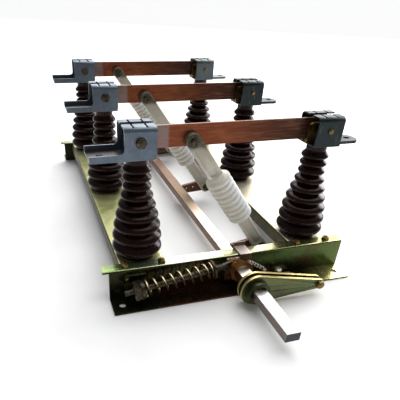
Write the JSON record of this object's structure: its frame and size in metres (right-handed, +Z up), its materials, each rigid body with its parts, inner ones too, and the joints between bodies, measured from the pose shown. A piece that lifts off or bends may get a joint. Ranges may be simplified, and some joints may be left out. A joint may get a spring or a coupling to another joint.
{
  "type": "three-pole disconnect switch",
  "caption": "Three-pole knife disconnect switch on a folded steel base with shedded posts, copper blades, ribbed pull rods and an operating lever.",
  "frame": {"origin": "centre of the base frame's footprint, at floor level", "axes": "+X along the blades from hinge to jaw, +Y from the operating end to the rear, +Z up"},
  "size_m": [0.541, 1.047, 0.318],
  "materials": {
    "frame_zinc": "satin",
    "insulator_glaze": "gloss",
    "terminal_metal": "satin",
    "contact_copper": "satin",
    "blade_copper": "satin",
    "bolt_steel": "satin",
    "rod_plastic": "satin",
    "lever_zinc": "satin",
    "spring_wire": "gloss"
  },
  "bodies": {
    "root": {"front_member": "frame_zinc", "rear_member": "frame_zinc", "left_rail": "frame_zinc", "right_rail": "frame_zinc", "shaft_bearings": "frame_zinc", "spring_bracket": "frame_zinc", "insulator_hinge_a": "insulator_glaze", "insulator_hinge_b": "insulator_glaze", "insulator_hinge_c": "insulator_glaze", "insulator_jaw_a": "insulator_glaze", "insulator_jaw_b": "insulator_glaze", "insulator_jaw_c": "insulator_glaze", "hinge_terminal_a": "terminal_metal", "hinge_terminal_b": "terminal_metal", "hinge_terminal_c": "terminal_metal", "jaw_terminal_a": "terminal_metal", "jaw_terminal_b": "terminal_metal", "jaw_terminal_c": "terminal_metal", "contact_cheeks_a": "contact_copper", "contact_cheeks_b": "contact_copper", "contact_cheeks_c": "contact_copper", "terminal_bolts_a": "bolt_steel", "terminal_bolts_b": "bolt_steel", "terminal_bolts_c": "bolt_steel"},
    "shaft": {"main_shaft": "frame_zinc", "shaft_cranks": "frame_zinc", "lever_plates": "lever_zinc", "lever_hub": "lever_zinc", "spring_crank": "lever_zinc"},
    "blade_a_body": {"blade_a": "blade_copper", "rod_bolt_a": "bolt_steel"},
    "blade_b_body": {"blade_b": "blade_copper", "rod_bolt_b": "bolt_steel"},
    "blade_c_body": {"blade_c": "blade_copper", "rod_bolt_c": "bolt_steel"},
    "rod_a": {"pull_rod_a": "rod_plastic", "crank_pin_a": "bolt_steel"},
    "rod_b": {"pull_rod_b": "rod_plastic", "crank_pin_b": "bolt_steel"},
    "rod_c": {"pull_rod_c": "rod_plastic", "crank_pin_c": "bolt_steel"},
    "guide": {"guide_rod": "lever_zinc", "toggle_spring": "spring_wire"},
    "seat": {"spring_seat": "lever_zinc"}
  },
  "joints": [
    {"name": "shaft_turn", "type": "hinge", "parent": "root", "child": "shaft", "pos_m": [0.011, 0, 0.036], "axis": [0, -1, 0], "range_deg": [0, 69.45]},
    {"name": "blade_swing_a", "type": "hinge", "parent": "root", "child": "blade_a_body", "pos_m": [-0.185, -0.325, 0.2925], "axis": [0, -1, 0], "range_deg": [0, 55]},
    {"name": "blade_swing_b", "type": "hinge", "parent": "root", "child": "blade_b_body", "pos_m": [-0.185, 0, 0.2925], "axis": [0, -1, 0], "range_deg": [0, 55]},
    {"name": "blade_swing_c", "type": "hinge", "parent": "root", "child": "blade_c_body", "pos_m": [-0.185, 0.325, 0.2925], "axis": [0, -1, 0], "range_deg": [0, 55]},
    {"name": "rod_swing_a", "type": "hinge", "parent": "blade_a_body", "child": "rod_a", "pos_m": [-0.085, -0.325, 0.285], "axis": [0, -1, 0], "range_deg": [-60.2, 0]},
    {"name": "rod_swing_b", "type": "hinge", "parent": "blade_b_body", "child": "rod_b", "pos_m": [-0.085, 0, 0.285], "axis": [0, -1, 0], "range_deg": [-60.2, 0]},
    {"name": "rod_swing_c", "type": "hinge", "parent": "blade_c_body", "child": "rod_c", "pos_m": [-0.085, 0.325, 0.285], "axis": [0, -1, 0], "range_deg": [-60.2, 0]},
    {"name": "guide_swing", "type": "hinge", "parent": "shaft", "child": "guide", "pos_m": [-0.01309, -0.417, 0.06275], "axis": [0, -1, 0], "range_deg": [-80.9, 0], "deforming": ["toggle_spring"]},
    {"name": "seat_swivel", "type": "hinge", "parent": "root", "child": "seat", "pos_m": [-0.205, -0.417, 0.034], "axis": [0, -1, 0], "range_deg": [-11.5, 0]}
  ],
  "couplings": [
    {"joint": "blade_swing_a", "follows": "shaft_turn", "ratio": 0.79137},
    {"joint": "blade_swing_b", "follows": "shaft_turn", "ratio": 0.79137},
    {"joint": "blade_swing_c", "follows": "shaft_turn", "ratio": 0.79137},
    {"joint": "rod_swing_a", "follows": "shaft_turn", "ratio": -0.8648},
    {"joint": "rod_swing_b", "follows": "shaft_turn", "ratio": -0.8648},
    {"joint": "rod_swing_c", "follows": "shaft_turn", "ratio": -0.8648},
    {"joint": "guide_swing", "follows": "shaft_turn", "ratio": -1.164},
    {"joint": "seat_swivel", "follows": "shaft_turn", "ratio": -0.164}
  ]
}
